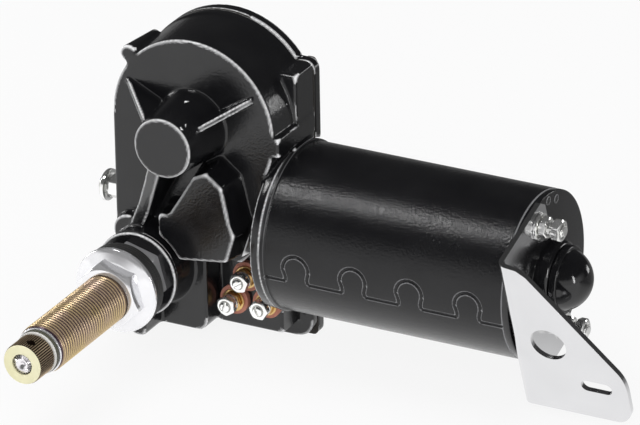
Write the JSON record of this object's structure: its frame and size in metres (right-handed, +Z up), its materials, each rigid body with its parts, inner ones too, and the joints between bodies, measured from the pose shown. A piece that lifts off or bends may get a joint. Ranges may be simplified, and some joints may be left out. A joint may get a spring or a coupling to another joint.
{
  "type": "wiper motor",
  "caption": "Wiper motor: ribbed worm-gear case with a threaded spindle and knurled drum, a tubular motor and an end bracket.",
  "frame": {"origin": "on the spindle axis, at the middle of the bushing's free thread", "axes": "-Y along the spindle towards its knurled drum, +X along the motor tube towards its end cap, +Z up"},
  "size_m": [0.2323, 0.1535, 0.1267],
  "materials": {
    "black_paint": "gloss black paint over die-cast and pressed metal",
    "gasket_paper": "pressed fibre sheet",
    "zinc_steel": "bright zinc plate",
    "steel": "turned or pressed steel",
    "yellow_zinc": "yellow passivated zinc with a faint violet sheen",
    "chrome": "chrome plate",
    "rubber_black": "moulded rubber",
    "bronze": "sintered bronze",
    "drum_bronze": "dark bronze plate over a knurl",
    "white_nylon": "moulded nylon",
    "stainless": "pale satin sheet",
    "fibre": "vulcanised red fibre",
    "brass": "turned brass",
    "ferrite": "ferrite",
    "copper_wire": "enamelled copper wire",
    "carbon": "copper-graphite"
  },
  "bodies": {
    "root": {"gear_housing": "black_paint", "rear_cover": "black_paint", "cover_gasket": "gasket_paper", "cover_screws": "zinc_steel", "spindle_bushing": "yellow_zinc", "front_bush": "bronze", "rear_bush": "bronze", "inner_mounting_nut": "chrome", "bulkhead_gasket": "rubber_black", "outer_mounting_nut": "chrome", "thrust_screw": "zinc_steel", "thrust_ball": "steel", "nose_bush": "bronze", "drive_bearing": "steel", "motor_tube": "black_paint", "magnets": "ferrite", "end_cap": "black_paint", "rear_motor_bearing": "bronze", "bearing_cap": "black_paint", "tie_bolts": "zinc_steel", "tie_bolt_washers": "zinc_steel", "tie_bolt_nuts": "zinc_steel", "brush_holder": "gasket_paper", "brushes": "carbon", "brush_springs": "steel", "mounting_bracket": "stainless", "terminal_insulators": "fibre", "terminal_washers": "brass", "terminal_jam_nuts": "zinc_steel", "terminal_lock_washers": "zinc_steel", "terminal_nuts": "zinc_steel", "terminal_studs": "brass", "wheel_bush_front": "bronze", "wheel_bush_rear": "bronze", "thrust_washer": "steel"},
    "armature": {"armature_shaft": "steel", "armature_core": "steel", "armature_windings": "copper_wire", "commutator": "brass", "worm": "steel"},
    "wheel": {"worm_wheel": "white_nylon", "wheel_hub": "steel", "crank_pin": "steel", "crank_plate": "steel"},
    "link": {"connecting_link": "steel", "link_bush": "bronze"},
    "output": {"rocker_lever": "steel", "rocker_pin": "steel", "output_shaft": "steel", "knurled_drum": "drum_bronze", "drum_washer": "white_nylon", "shaft_seal": "rubber_black", "seal_cap": "chrome"}
  },
  "joints": [
    {"name": "armature_spin", "type": "hinge", "parent": "root", "child": "armature", "pos_m": [0.05, 0.08225, 0.0164], "axis": [1, 0, 0], "continuous": true},
    {"name": "wheel_spin", "type": "hinge", "parent": "root", "child": "wheel", "pos_m": [0.0174, 0.08225, 0.0584], "axis": [0, 1, 0], "continuous": true},
    {"name": "link_pivot", "type": "hinge", "parent": "wheel", "child": "link", "pos_m": [0.02668, 0.06885, 0.05775], "axis": [0, 1, 0], "continuous": true},
    {"name": "output_sweep", "type": "hinge", "parent": "root", "child": "output", "pos_m": [0, 0, 0], "axis": [0, -1, 0], "range_deg": [-44, 36]}
  ],
  "couplings": [
    {"joint": "wheel_spin", "follows": "armature_spin", "ratio": 0.023256},
    {"joint": "link_pivot", "follows": "armature_spin", "ratio": -0.023256}
  ]
}
